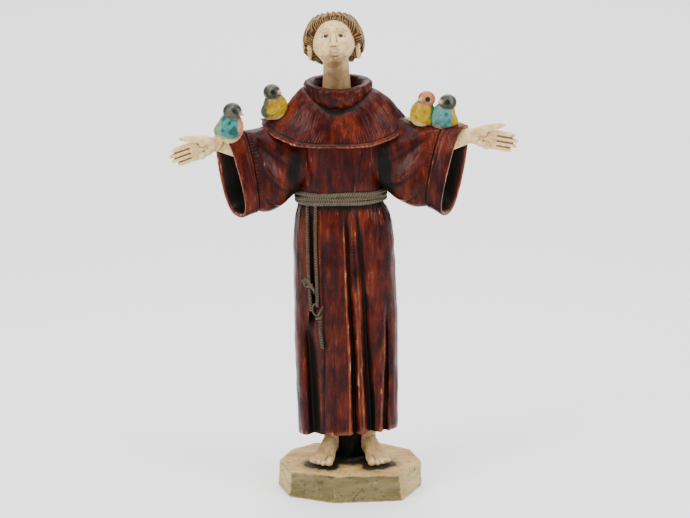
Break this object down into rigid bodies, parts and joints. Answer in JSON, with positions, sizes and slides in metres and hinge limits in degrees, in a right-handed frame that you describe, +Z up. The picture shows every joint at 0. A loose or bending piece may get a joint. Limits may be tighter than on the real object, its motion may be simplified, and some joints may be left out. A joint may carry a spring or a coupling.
{
  "type": "saint statue with birds",
  "caption": "Standing friar figure in a hooded habit with arms spread, small birds on the sleeves and a rope belt, cast as one and set on a low flat-sided plinth.",
  "frame": {"origin": "centre of the plinth's underside, on the surface the statue stands on", "axes": "+Z up, the figure faces -Y, +X is to the right as seen from the front"},
  "size_m": [0.2103, 0.0709, 0.3],
  "materials": {
    "habit": "glossy maroon paint over cast resin, rubbed through to tan on the ridges",
    "skin": "satin ivory paint with brown wash in the grooves",
    "hair": "satin tan paint with dark brown grooves",
    "rope": "dull olive grey paint on moulded rope",
    "feathers": "glossy teal, yellow, pink and grey paint",
    "stone": "dull cream and olive paint with a chip, a crack and specks"
  },
  "bodies": {
    "root": {"figure": "habit", "plinth": "stone"}
  },
  "joints": []
}
